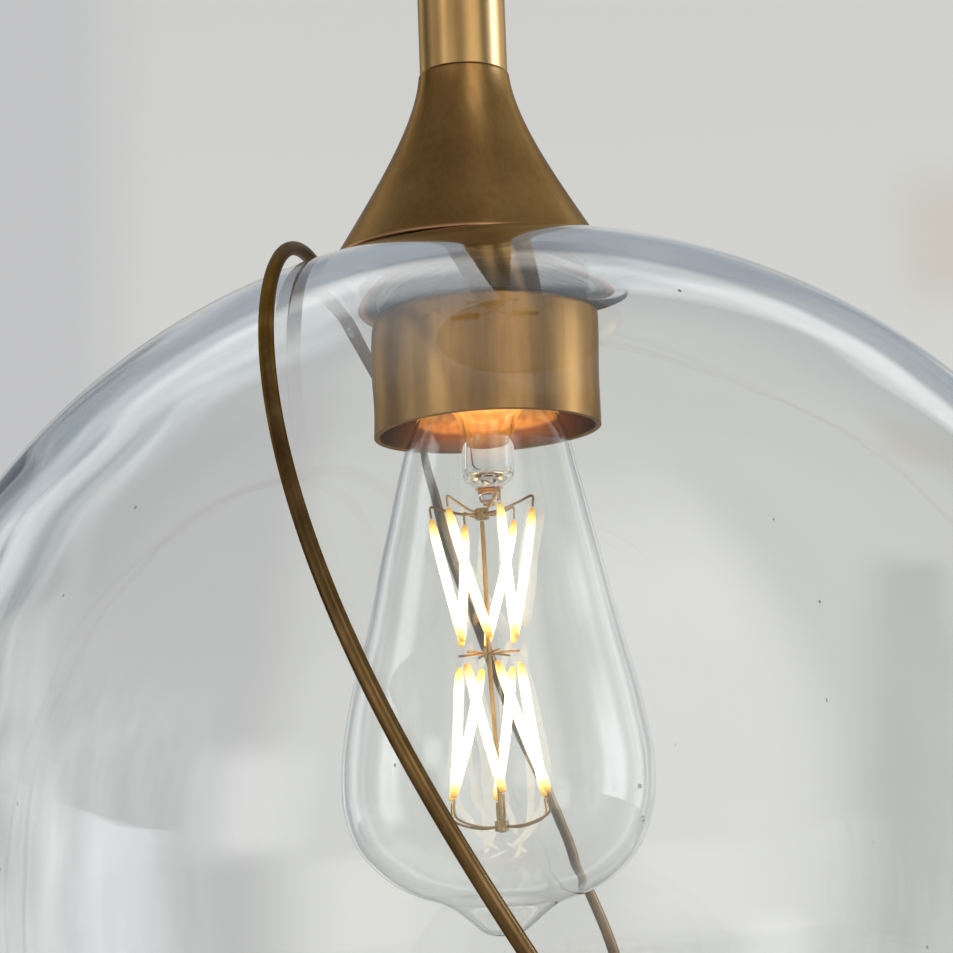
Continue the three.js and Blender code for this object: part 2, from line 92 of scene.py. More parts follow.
# ---------------------------------------------------------------- materials
class Nodes:
    """A material's node tree, with short calls to add nodes and join them."""

    def __init__(self, name):
        self.material = bpy.data.materials.new(name)
        self.material.use_nodes = True
        self.tree = self.material.node_tree
        self.tree.nodes.clear()
        self.out = self.add("ShaderNodeOutputMaterial")
        self.place = self.add("ShaderNodeTexCoord").outputs["Object"]

    def add(self, kind, **settings):
        node = self.tree.nodes.new(kind)
        for key, value in settings.items():
            setattr(node, key, value)
        return node

    def link(self, source, target):
        self.tree.links.new(source, target)

    def stretched(self, scale):
        """Object coordinates, scaled along each axis."""
        node = self.add("ShaderNodeMapping")
        node.inputs["Scale"].default_value = scale
        self.link(self.place, node.inputs["Vector"])
        return node.outputs["Vector"]

    def maths(self, operation, *values):
        """A maths node. A value is a number or another node's output."""
        node = self.add("ShaderNodeMath", operation=operation)
        for socket, value in zip(node.inputs, values):
            if isinstance(value, (int, float)):
                socket.default_value = value
            else:
                self.link(value, socket)
        return node.outputs[0]

    def height(self):
        """The height of the shaded point, in the piece's own coordinates."""
        split = self.add("ShaderNodeSeparateXYZ")
        self.link(self.place, split.inputs[0])
        return split.outputs["Z"]

    def noise(self, scale, detail=3, roughness=0.5, at=None):
        node = self.add("ShaderNodeTexNoise")
        node.inputs["Scale"].default_value = scale
        node.inputs["Detail"].default_value = detail
        node.inputs["Roughness"].default_value = roughness
        self.link(self.place if at is None else at, node.inputs["Vector"])
        return node.outputs["Fac"]

    def ramp(self, factor, *stops):
        """stops are (position, (r, g, b)) pairs."""
        node = self.add("ShaderNodeValToRGB")
        elements = node.color_ramp.elements
        while len(elements) < len(stops):
            elements.new(0.5)
        for element, (position, color) in zip(elements, stops):
            element.position = position
            element.color = (*color, 1)
        self.link(factor, node.inputs["Fac"])
        return node.outputs["Color"]

    def remap(self, factor, low, high, start=0.0, end=1.0):
        node = self.add("ShaderNodeMapRange")
        node.inputs["From Min"].default_value = start
        node.inputs["From Max"].default_value = end
        node.inputs["To Min"].default_value = low
        node.inputs["To Max"].default_value = high
        self.link(factor, node.inputs["Value"])
        return node.outputs["Result"]

    def mixed(self, factor, a, b):
        node = self.add("ShaderNodeMix", data_type="RGBA", blend_type="MIX")
        for socket, value in zip((0, 6, 7), (factor, a, b)):
            if isinstance(value, tuple):
                node.inputs[socket].default_value = (*value, 1)
            elif isinstance(value, (int, float)):
                node.inputs[socket].default_value = value
            else:
                self.link(value, node.inputs[socket])
        return node.outputs[2]

    def bump(self, height, strength, distance):
        node = self.add("ShaderNodeBump")
        node.inputs["Strength"].default_value = strength
        node.inputs["Distance"].default_value = distance
        self.link(height, node.inputs["Height"])
        return node.outputs["Normal"]

    def surface(self, **sockets):
        """A Principled shader. A key is the socket's name with underscores."""
        node = self.add("ShaderNodeBsdfPrincipled")
        for key, value in sockets.items():
            socket = node.inputs[key.replace("_", " ")]
            if isinstance(value, bpy.types.NodeSocket):
                self.link(value, socket)
            else:
                socket.default_value = value
        return node.outputs["BSDF"]

    def show(self, shader):
        self.link(shader, self.out.inputs["Surface"])
        return self.material


SKIN_DEPTH = 0.06 * MM  # height of the fine grain in a surface


def metal(name, dark, mid, light, rough, mottle=60, relief=0.05, painted_glint=None, edge=(1, 1, 1, 1)):
    """
    Satin metal: slow patches of tone, fine brushing along Z, and uneven polish.
    edge tints the mirror images at a grazing angle. The (height, reach, color) triple paints a highlight
    along an edge at that height. With a roughness under 0.28 the rod showed specks from the side.
    """
    n = Nodes(name)
    patches = n.noise(mottle, 3, 0.55, n.stretched((1, 1, 0.6)))
    brushing = n.noise(1, 2, 0.5, n.stretched((900, 900, 90)))
    tone = n.ramp(patches, (0.3, dark), (0.52, mid), (0.75, light))
    tone = n.mixed(0.16, tone, n.ramp(brushing, (0.35, dark), (0.65, light)))
    # Painted highlight: a light band of the given colour along the edge at that height
    if painted_glint:
        height, reach, glint_color = painted_glint
        away = n.maths("ABSOLUTE", n.maths("SUBTRACT", n.height(), height))
        tone = n.mixed(n.remap(away, 1, 0, 0, reach), tone, glint_color)
    polish = n.remap(n.noise(mottle * 1.6, 2, 0.5), rough[0], rough[1], 0.3, 0.7)
    grain = n.noise(2600, 2, 0.5)
    normal = n.bump(n.mixed(0.5, grain, brushing), relief, SKIN_DEPTH)
    return n.show(n.surface(
        Base_Color=tone, Metallic=1.0, Roughness=polish, Normal=normal, Specular_Tint=edge,
    ))


def plain(name, dark, light, rough, scale=300, relief=0.1, coat=0.0):
    """Ceramic, rubber or plastic: a speckled tone, uneven gloss and a fine skin."""
    n = Nodes(name)
    speckle = n.noise(scale, 5, 0.65)
    tone = n.ramp(speckle, (0.35, dark), (0.65, light))
    polish = n.remap(n.noise(scale * 0.4, 3), rough[0], rough[1], 0.3, 0.7)
    normal = n.bump(n.noise(scale * 6, 3), relief, 0.05 * MM)
    return n.show(n.surface(
        Base_Color=tone, Roughness=polish, Normal=normal, Coat_Weight=coat, Coat_Roughness=0.08,
    ))


def caught_light(n, start, full, strength):
    """
    Filament light caught in the bulb's glass. The neck glows from the height start up, and at strength
    from the height full up. The stem on its axis starts to glow 11 mm lower, and less.
    """
    neck = n.remap(n.height(), 0, strength, start, full)
    off_axis = n.add("ShaderNodeVectorMath", operation="LENGTH")
    n.link(n.stretched((1, 1, 0)), off_axis.inputs[0])
    core = n.remap(off_axis.outputs["Value"], 1, 0, 7 * MM, 8 * MM)
    stem = n.remap(n.height(), 0, strength * 0.55, start - 11 * MM, start)
    amount = n.maths("MAXIMUM", neck, n.maths("MULTIPLY", core, stem))
    patches = n.ramp(n.noise(420, 3), (0.35, (0.62, 0.17, 0.02)), (0.65, (1.0, 0.44, 0.08)))
    return {"Emission_Color": patches, "Emission_Strength": amount}


def glass(name, tint, ior, waves, relief, glow=None):
    """
    Clear glass with slow waves in its skin. Light from lamps passes it, so that what is inside is lit.
    glow is what caught_light takes.
    """
    n = Nodes(name)
    warmth = caught_light(n, *glow) if glow else {}
    slow = n.noise(waves, 2, 0.4, n.stretched((1, 1, 0.55)))
    lighter = tuple(min(1, c * 1.01) for c in tint)
    color = n.ramp(n.noise(waves * 0.7, 2), (0.3, tint), (0.7, lighter))
    body = n.surface(
        Base_Color=color, Transmission_Weight=1.0, IOR=ior, Roughness=0.0,
        Normal=n.bump(slow, relief, 0.4 * MM), **warmth,
    )
    clear = n.add("ShaderNodeBsdfTransparent")
    clear.inputs["Color"].default_value = (0.94, 0.955, 0.95, 1)
    mix = n.add("ShaderNodeMixShader")
    n.link(n.add("ShaderNodeLightPath").outputs["Is Shadow Ray"], mix.inputs[0])
    n.link(body, mix.inputs[1])
    n.link(clear.outputs[0], mix.inputs[2])
    return n.show(mix.outputs[0])


def lit(name, strength):
    """A lit filament: white-hot in the middle, and yellow where it thins out to its wires at each end."""
    n = Nodes(name)
    split = n.add("ShaderNodeSeparateXYZ")
    n.link(n.add("ShaderNodeTexCoord").outputs["Generated"], split.inputs[0])
    along = split.outputs["Z"]
    tip, near_tip, hot = (1.0, 0.50, 0.06), (1.0, 0.72, 0.22), (1.0, 0.86, 0.56)
    color = n.ramp(along, (0.0, tip), (0.07, near_tip), (0.16, hot),
                   (0.84, hot), (0.93, near_tip), (1.0, tip))
    dim, mid, full = (0.08,) * 3, (0.75,) * 3, (1.0,) * 3
    power = n.ramp(along, (0.0, dim), (0.12, mid), (0.5, full), (0.88, mid), (1.0, dim))
    beads = n.remap(n.noise(1500, 1), 0.75, 1.15, 0.35, 0.65)
    force = n.maths("MULTIPLY", n.maths("MULTIPLY", power, beads), strength)
    return n.show(n.surface(Base_Color=color, Roughness=0.5, Emission_Color=color, Emission_Strength=force))


LOOKS = {
    "antique_brass": metal("antique_brass", (0.21, 0.105, 0.038), (0.37, 0.205, 0.068), (0.48, 0.29, 0.108),
                           (0.28, 0.36), mottle=42, relief=0.012, edge=(0.62, 0.56, 0.49, 1),
                           # painted highlight: a light copper band along the cap's rim edge, where light
                           # catches it
                           painted_glint=(level(131.3), 0.7 * MM, (0.95, 0.50, 0.24))),
    "bright_brass": metal("bright_brass", (0.38, 0.225, 0.085), (0.48, 0.305, 0.125), (0.56, 0.38, 0.175),
                          (0.28, 0.31), mottle=42, relief=0.012, edge=(0.75, 0.68, 0.6, 1)),
    "ring_bronze": metal("ring_bronze", (0.12, 0.068, 0.026), (0.18, 0.104, 0.04), (0.26, 0.158, 0.066),
                         (0.28, 0.38), mottle=110, edge=(0.5, 0.43, 0.35, 1)),
    "steel": metal("steel", (0.36, 0.37, 0.38), (0.5, 0.51, 0.52), (0.64, 0.65, 0.66), (0.3, 0.45)),
    "lamp_base_metal": metal("lamp_base_metal", (0.5, 0.5, 0.5), (0.62, 0.62, 0.62), (0.74, 0.74, 0.74),
                             (0.29, 0.34)),
    "globe_glass": glass("globe_glass", (0.982, 0.986, 0.98), 1.5, 16, 0.05),
    "bulb_glass": glass("bulb_glass", (0.985, 0.99, 0.985), 1.48, 30, 0.03,
                        glow=(level(98), level(99), 0.34)),
    "filament": lit("filament", 2.6),
    "support_wire": metal("support_wire", (0.30, 0.19, 0.08), (0.42, 0.28, 0.12), (0.5, 0.36, 0.18),
                          (0.29, 0.4), mottle=300),
    "porcelain": plain("porcelain", (0.68, 0.64, 0.56), (0.78, 0.75, 0.68), (0.18, 0.3), coat=0.4),
    "black_rubber": plain("black_rubber", (0.022, 0.022, 0.024), (0.04, 0.04, 0.043), (0.55, 0.75), 400, 0.3),
    "clear_rubber": plain("clear_rubber", (0.6, 0.63, 0.6), (0.72, 0.75, 0.72), (0.2, 0.35)),
    "black_insulator": plain("black_insulator", (0.012, 0.012, 0.014), (0.03, 0.03, 0.034), (0.1, 0.2),
                             coat=0.5),
    "wire_insulation": plain("wire_insulation", (0.66, 0.64, 0.58), (0.75, 0.73, 0.68), (0.4, 0.55)),
    "wire_nut_plastic": plain("wire_nut_plastic", (0.5, 0.33, 0.03), (0.6, 0.42, 0.06), (0.35, 0.5)),
}
METALS = [LOOKS[slot] for slot in ("antique_brass", "bright_brass", "ring_bronze", "support_wire")]


# ---------------------------------------------------------------- mesh helpers
def skin(rings, loop=False):
    """Faces between rings of points. A ring of one point is a pole."""
    bm = bmesh.new()
    rows = [[bm.verts.new(point) for point in ring] for ring in rings]
    pairs = list(zip(rows, rows[1:])) + ([(rows[-1], rows[0])] if loop else [])
    for a, b in pairs:
        count = max(len(a), len(b))
        for i in range(count):
            j = (i + 1) % count
            corners = [a[i % len(a)], a[j % len(a)], b[j % len(b)], b[i % len(b)]]
            bm.faces.new(list(dict.fromkeys(corners)))
    return bm


def arc(centre, radii, start, end, steps):
    """Points of an elliptic arc, in degrees."""
    angles = [math.radians(start + (end - start) * i / steps) for i in range(steps + 1)]
    return [(centre[0] + radii[0] * math.cos(a), centre[1] + radii[1] * math.sin(a)) for a in angles]


def softened(outline, radius, steps=3):
    """
    The outline with each corner of more than 25 degrees rounded off.
    A closed outline repeats its first point at its end.
    """
    closed = outline[0] == outline[-1]
    points = [Vector(p) for p in (outline[:-1] if closed else outline)]
    count = len(points)
    made = []
    for i, corner in enumerate(points):
        if not closed and i in (0, count - 1):
            made.append(tuple(corner))
            continue
        back, ahead = points[i - 1] - corner, points[(i + 1) % count] - corner
        if back.angle(-ahead) < math.radians(25):
            made.append(tuple(corner))
            continue
        a = corner + back.normalized() * min(radius, back.length * 0.45)
        b = corner + ahead.normalized() * min(radius, ahead.length * 0.45)
        for k in range(steps + 1):
            t = k / steps
            made.append(tuple(a * (1 - t) ** 2 + corner * 2 * t * (1 - t) + b * t * t))
    return made + [made[0]] if closed else made


def lathe(outline, segments=96, round_off=0.25, centre=(0, 0)):
    """A turned piece from an outline of (radius, height), in metres, about a vertical axis at centre."""
    outline = softened(outline, round_off * MM) if round_off else outline
    closed = outline[0] == outline[-1]
    rings = []
    for radius, height in outline[:-1] if closed else outline:
        if radius < 1e-7:
            rings.append([(centre[0], centre[1], height)])
            continue
        ring = []
        for i in range(segments):
            turn = 2 * math.pi * i / segments
            ring.append((centre[0] + radius * math.cos(turn), centre[1] + radius * math.sin(turn), height))
        rings.append(ring)
    return skin(rings, closed)


def tube(path, radius, sides=16, domed=0.0):
    """A round bar along points. radius is a number, or a list with one for each point."""
    path = [Vector(p) for p in path]
    radii = radius if isinstance(radius, list) else [radius] * len(path)
    rings = []
    across = None
    for i, point in enumerate(path):
        along = (path[min(i + 1, len(path) - 1)] - path[max(i - 1, 0)]).normalized()
        if across is None:
            across = along.orthogonal().normalized()
        across = (across - along * across.dot(along)).normalized()
        side = along.cross(across)
        turns = [2 * math.pi * k / sides for k in range(sides)]
        rings.append([point + (across * math.cos(t) + side * math.sin(t)) * radii[i] for t in turns])
    first = (path[0] - path[1]).normalized() * domed
    last = (path[-1] - path[-2]).normalized() * domed
    return skin([[path[0] + first]] + rings + [[path[-1] + last]])


def joined(*meshes):
    whole = meshes[0]
    for other in meshes[1:]:
        spare = bpy.data.meshes.new("spare")
        other.to_mesh(spare)
        other.free()
        whole.from_mesh(spare)
        bpy.data.meshes.remove(spare)
    return whole


BODY_OF = {node: body for body, nodes in frame["record"]["behaviour"]["bodies"].items() for node in nodes}
SLOT_OF = {part["node"]: part["material_slot"] for part in frame["record"]["subparts"]}


def show(bm, *nodes, sharp=35, flip=True):
    """Makes the mesh a piece that stands for those CAD nodes, with the first one's body and material slot."""
    if flip:
        bmesh.ops.recalc_face_normals(bm, faces=bm.faces)
    for face in bm.faces:
        face.smooth = True
    for edge in bm.edges:
        edge.smooth = len(edge.link_faces) == 2 and edge.calc_face_angle() < math.radians(sharp)
    name = f"shown_{nodes[0]}"
    mesh = bpy.data.meshes.new(name)
    bm.to_mesh(mesh)
    bm.free()
    slot = SLOT_OF[nodes[0]]
    mesh.materials.append(LOOKS[slot])
    piece = bpy.data.objects.new(name, mesh)
    bpy.context.scene.collection.objects.link(piece)
    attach(piece, BODY_OF[nodes[0]])
    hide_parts(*nodes)


# ---------------------------------------------------------------- ceiling end
def millimetres(outline, height=0.0):
    return [(r * MM, height + z * MM) for r, z in outline]


def canopy():
    radius, low, high = extent("canopy")
    r, wall, flat, side = radius / MM, 1.4, 44, -6
    depth = (high - low) / MM
    inner, floor = r - wall, -depth + wall
    outline = [(5.6, -depth)] + arc((flat, side), (r - flat, depth + side), -90, 0, 28)
    outline += [(r, 0), (57.5, 0), (57.5, -wall), (inner, -wall)]
    outline += arc((flat, side), (inner - flat, side - floor), 0, -90, 28) + [(5.6, floor), (5.6, -depth)]
    show(lathe(millimetres(outline), 160, 0.35), "canopy")


def plate_with_holes(length, width, thickness, holes, corner):
    """A flat bar on the ceiling plane, rounded at its corners, with round holes (x, radius)."""
    curve = bpy.data.curves.new("spare", "CURVE")
    curve.dimensions = "2D"
    curve.fill_mode = "BOTH"
    curve.extrude = thickness / 2 - 0.2 * MM
    curve.bevel_depth = 0.2 * MM
    curve.bevel_resolution = 2

    def ring(points):
        spline = curve.splines.new("POLY")
        spline.points.add(len(points) - 1)
        for dot, (x, y) in zip(spline.points, points):
            dot.co = (x, y, 0, 1)
        spline.use_cyclic_u = True

    half_length, half_width = length / 2 - 0.2 * MM, width / 2 - 0.2 * MM
    outer = []
    for sx, sy, start in ((1, 1, 0), (-1, 1, 90), (-1, -1, 180), (1, -1, 270)):
        middle = (sx * (half_length - corner), sy * (half_width - corner))
        outer += arc(middle, (corner, corner), start, start + 90, 8)
    ring(outer)
    for x, hole in holes:
        ring(arc((x, 0), (hole + 0.2 * MM,) * 2, 0, 350, 35))
    holder = bpy.data.objects.new("spare", curve)
    mesh = bpy.data.meshes.new_from_object(holder)
    bm = bmesh.new()
    bm.from_mesh(mesh)
    bpy.data.objects.remove(holder)
    bpy.data.curves.remove(curve)
    bpy.data.meshes.remove(mesh)
    bmesh.ops.remove_doubles(bm, verts=bm.verts, dist=1e-6)
    bmesh.ops.translate(bm, verts=bm.verts, vec=(0, 0, -thickness / 2))
    return bm


def ceiling_end():
    canopy()
    half, low, high = extent("crossbar")
    slots = [(x * MM, 2.4 * MM) for x in (-44.5, -35, 35, 44.5)] + [(0, 5 * MM)]
    show(plate_with_holes(half * 2, 18 * MM, high - low, slots, 3 * MM), "crossbar")
    for number, sign in ((1, -1), (2, 1)):
        stud = (sign * 35 * MM, 0)
        screw = (sign * 44.5 * MM, 0)
        head = [(0, -0.1), (2, -0.1), (2, -2.3), (4, -2.3)] + arc((0, -3.3), (4, 2), 0, -90, 10)
        show(lathe(millimetres(head), 40, 0.2, screw), f"box_screw_{number}")
        threads = [(2 - 0.18 * (k % 2), -0.1 - k * 0.35) for k in range(79)]
        show(lathe(millimetres([(0, -0.1)] + threads + [(0, -27.9)]), 32, 0, stud), f"canopy_stud_{number}")
        face = -24.3
        nut = [(0, face - 4.4), (2.3, face - 4.4), (2.3, face), (5.4, face), (5.4, face - 1.6)]
        nut += arc((0, face - 4.6), (4.6, 4.4), 20, -90, 24)
        knurled(lathe(millimetres(nut), 96, 0.25, stud), stud, face, f"cap_nut_{number}")
        wire_nut(number, sign)
        route = [(9.5, -16, -12), (8, -15.8, -11.6), (6, -15, -11), (3.6, -11, -9.8), (2, -6, -9),
                 (1.5, -3, -9.2), (1.5, -1, -10), (1.4, -0.1, -12), (1.4, 0, -15), (1.4, 0, -19),
                 (1.4, 0, -23)]
        path = smooth_path([(sign * x * MM, y * MM, z * MM) for x, y, z in route], 6)
        show(tube(path, 0.9 * MM, 14, 0.2 * MM), f"canopy_lead_{number}")


def smooth_path(points, steps):
    """A Catmull-Rom path through the points."""
    points = [Vector(p) for p in points]
    ends = [points[0] * 2 - points[1]] + points + [points[-1] * 2 - points[-2]]
    made = []
    for a, b, c, d in zip(ends, ends[1:], ends[2:], ends[3:]):
        for k in range(steps):
            t = k / steps
            made.append(0.5 * (2 * b + (c - a) * t + (2 * a - 5 * b + 4 * c - d) * t**2
                               + (3 * b - a - 3 * c + d) * t**3))
    return made + [points[-1]]


def knurled(bm, middle, face, node):
    """Fine ribs round the flange of a cap nut."""
    for vert in bm.verts:
        x, y = vert.co.x - middle[0], vert.co.y - middle[1]
        reach = math.hypot(x, y)
        if reach > 5.0 * MM:
            cut = 1 - 0.018 * (0.5 + 0.5 * math.cos(math.atan2(y, x) * 24))
            vert.co.x, vert.co.y = middle[0] + x * cut, middle[1] + y * cut
    show(bm, node)


def wire_nut(number, sign):
    """A plastic connector with ribs along its cone."""
    outline = [(0, 0), (3.2, -0.1), (4.2, -1.2), (6, -15), (6, -18), (2.6, -18), (2.6, -8), (0, -8)]
    bm = lathe(millimetres(outline), 72, 0.4)
    for vert in bm.verts:
        reach = math.hypot(vert.co.x, vert.co.y)
        if reach > 3 * MM and -16 * MM < vert.co.z < -1.5 * MM:
            rib = 1 - 0.05 * (0.5 + 0.5 * math.cos(math.atan2(vert.co.y, vert.co.x) * 12))
            vert.co.x *= rib
            vert.co.y *= rib
    turn = Matrix.Rotation(math.radians(90 * sign), 4, "Y")
    bm.transform(Matrix.Translation((sign * 28 * MM, -16 * MM, -12 * MM)) @ turn)
    show(bm, f"wire_nut_{number}")


# ---------------------------------------------------------------- swivel and rod
PIVOT = -38 * MM


def hex_nut(node, bore):
    low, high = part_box(node)
    flats = (high.y - low.y) / 2
    rings = []
    for height, inset in ((low.z, 0.96), (low.z + 0.35 * MM, 1), (high.z - 0.35 * MM, 1), (high.z, 0.96)):
        outer = []
        for i in range(72):
            angle = 2 * math.pi * i / 72
            nearest = math.radians(60) * round((angle - math.pi / 6) / math.radians(60)) + math.pi / 6
            reach = min(flats / math.cos(angle - nearest), flats * 1.12) * inset
            outer.append((reach * math.cos(angle), reach * math.sin(angle), height))
        rings.append(outer)
    turns = [2 * math.pi * i / 72 for i in range(72)]
    hole = [[(bore * math.cos(t), bore * math.sin(t), z) for t in turns] for z in (high.z, low.z)]
    show(skin(rings + hole, True), node)


def yoke():
    top, base_low = -24.3, -27.8
    base = lathe(millimetres([
        (3.2, base_low), (15, base_low), (15, top), (5.2, top), (5.2, -12), (3.2, -12), (3.2, base_low),
    ]), 96, 0.5)
    cheeks = []
    for sign in (-1, 1):
        root = base_low + 0.4
        outline = [(-8, root), (-8, -38)] + arc((0, -38), (8, 8), 180, 360, 30)[1:] + [(8, root)]
        faces = []
        for x, inset in ((9.7, 0.35), (9.95, 0), (12.45, 0), (12.7, 0.35)):
            ring = []
            for y, z in outline:
                away = Vector((y, z + 34))
                pulled = away * (1 - inset / away.length)
                ring.append((sign * x * MM, pulled.x * MM, (pulled.y - 34) * MM))
            faces.append(ring)
        middle = [(sign * x * MM, 0, -34 * MM) for x in (9.7, 12.7)]
        cheeks.append(skin([[middle[0]]] + faces + [[middle[1]]]))
    show(joined(base, *cheeks), "swivel_yoke")
    hex_nut("yoke_nut", 5.5 * MM)
    for number, sign in ((1, -1), (2, 1)):
        outline = [(0, 5.6), (1.8, 5.6), (1.8, 13), (3.4, 13)] + arc((0, 14), (3.4, 1.6), 0, 68, 10)
        outline += [(1.25, 15.2), (1.1, 14.6), (0, 14.6)]
        bm = lathe([(r * MM, z * MM) for r, z in outline], 48, 0.15)
        turn = Matrix.Rotation(math.radians(90 * sign), 4, "Y")
        bm.transform(Matrix.Translation((0, 0, PIVOT)) @ turn)
        show(bm, f"trunnion_screw_{number}")


def knuckle():
    crown, bore, body = 9.3, 4.4, 8.9
    low = math.degrees(math.asin(math.sqrt(crown**2 - body**2) / crown))
    high = math.degrees(math.acos(bore / crown))
    outline = [(bore, -58), (7.6, -58), (7.6, -48), (9.3, -48), (9.3, -46.4), (body, -46.2)]
    outline += arc((0, -38), (crown, crown), low, high, 18) + [(bore, -58)]
    show(lathe(millimetres(outline), 96, 0.25), "rod_knuckle")


def rod():
    radius, low, high = extent("rod")
    wall = radius - 1.4 * MM
    show(lathe([(wall, low), (radius, low), (radius, high), (wall, high), (wall, low)], 128, 0.25), "rod")


# ---------------------------------------------------------------- cap, seat and lamp holder
def bezier(a, b, c, d, steps):
    points = [Vector(p) for p in (a, b, c, d)]
    made = []
    for i in range(steps + 1):
        t = i / steps
        weights = ((1 - t) ** 3, 3 * t * (1 - t) ** 2, 3 * t * t * (1 - t), t**3)
        made.append(tuple(sum((p * w for p, w in zip(points, weights)), Vector((0, 0)))))
    return made


def holder():
    top, rim, rim_radius = 171.8, 131.2, 29
    outside = bezier((9.6, top), (10.6, 160.5), (21, 144.5), (rim_radius, rim), 48)
    inside = bezier((rim_radius - 1.3, rim), (19.6, 143.5), (9.6, 157), (8.6, 166.5), 32)
    outline = [(5.3, top)] + outside + inside + [(5.3, 166.5), (5.3, top)]
    show(lathe(millimetres(outline, CENTRE.z), 160, 0.3), "cap")

    r, wall, low, high, bend = 24.3, 1.2, 95.4, 123, 2.5
    inner = r - wall
    outline = [(inner, low), (r, low)] + arc((r - bend, high - bend), (bend, bend), 0, 90, 10)
    outline += [(17, high), (17, high - 1.4), (inner - 1, high - 1.4), (inner, high - 2.4), (inner, low)]
    show(lathe(millimetres(outline, CENTRE.z), 160, 0.3), "socket_cup")

    bore, radius, roof = 14.3, 16.5, 132.6
    open_outline = [(0, 141), (radius, 141), (radius, 136.3), (17.9, 136.3), (17.9, 134.3), (radius, 134.3),
                    (radius, 105), (bore, 105), (bore, roof), (0, roof)]
    show(lathe(millimetres(open_outline, CENTRE.z), 96, 0.5), "socket_body")

    show(threaded(14, 0.35, 0.2, 105.6, 130.6, 6), "socket_shell")
    for node, inner, outer, low, high in (
        ("socket_ring", 16.8, 22, 117.4, 121.3), ("seat_plate", 17, 25, 132.5, 134),
        ("upper_gasket", 20.4, 23.6, 130.9, 132.2), ("hole_sleeve", 17.3, 19.4, 123.3, 132.2),
        ("lower_gasket", 20.4, 22.2, 123.3, 127.2),
    ):
        outline = [(inner, low), (outer, low), (outer, high), (inner, high), (inner, low)]
        show(lathe(millimetres(outline, CENTRE.z), 96, 0.3), node)


def threaded(outer, wall, depth, low, high, turns, crown=()):
    """A thin sleeve rolled into a round thread."""
    steps = turns * 8
    heights = [low + (high - low) * i / steps for i in range(steps + 1)]
    waves = [depth * (0.5 + 0.5 * math.cos(2 * math.pi * i / 8)) for i in range(steps + 1)]
    outside = [(outer - w, z) for w, z in zip(waves, heights)]
    inside = [(outer - wall - w, z) for w, z in zip(waves, heights)]
    outline = outside + list(crown) + inside[::-1] + [outside[0]]
    return lathe(millimetres(outline, CENTRE.z), 72, 0)


# ---------------------------------------------------------------- globe
AROUND = 288
SWEEP_STEPS = 150
SEEDS = 70  # small bubbles in the wall
TURNS = [2 * math.pi * i / AROUND for i in range(AROUND)]
BORE = 128.5 * MM
BORE_SHIFT = Vector((3.5 * MM, 0, 0))
HOLE_RADIUS = 19.8 * MM
SEAT_RADIUS = 31.8 * MM
ROD_AXIS = Vector((-CENTRE.x, 0, 0))  # the rod's axis, seen from the globe's centre


def round_ring(radius, height, middle):
    return [middle + Vector((radius * math.cos(t), radius * math.sin(t), height)) for t in TURNS]


def on_ball(point, radius, centre, sign):
    """The point moved up or down onto a ball, keeping its x and y."""
    flat = Vector((point.x - centre.x, point.y - centre.y))
    return Vector((point.x, point.y, centre.z + sign * math.sqrt(radius**2 - flat.length_squared)))


def wavy(point):
    """A point of the inside face, moved in or out by the slow waves of the blown wall."""
    way = (point - BORE_SHIFT).normalized()
    slow = noise.noise(way * 1.7 + Vector((3, 1, 8)))
    drawn = noise.noise(Vector((way.x * 2.5, way.y * 2.5, way.z * 8)) + Vector((1, 7, 2)))
    fade = min(1, max(0, (0.97 - way.z) * 12), max(0, (way.z + 0.86) * 12))
    return point + way * (0.5 * slow + 0.16 * drawn) * fade * MM


def sweep_rings(start, end, radius, centre, count):
    """Rings of a ball's face, turning about centre from the ring start to the ring end."""
    rings = []
    for k in range(1, count):
        s = k / count
        ring = []
        for a, b in zip(start, end):
            va, vb = (a - centre).normalized(), (b - centre).normalized()
            angle = va.angle(vb)
            way = (va * math.sin((1 - s) * angle) + vb * math.sin(s * angle)) / math.sin(angle)
            ring.append(centre + way * radius)
        rings.append(ring)
    return rings


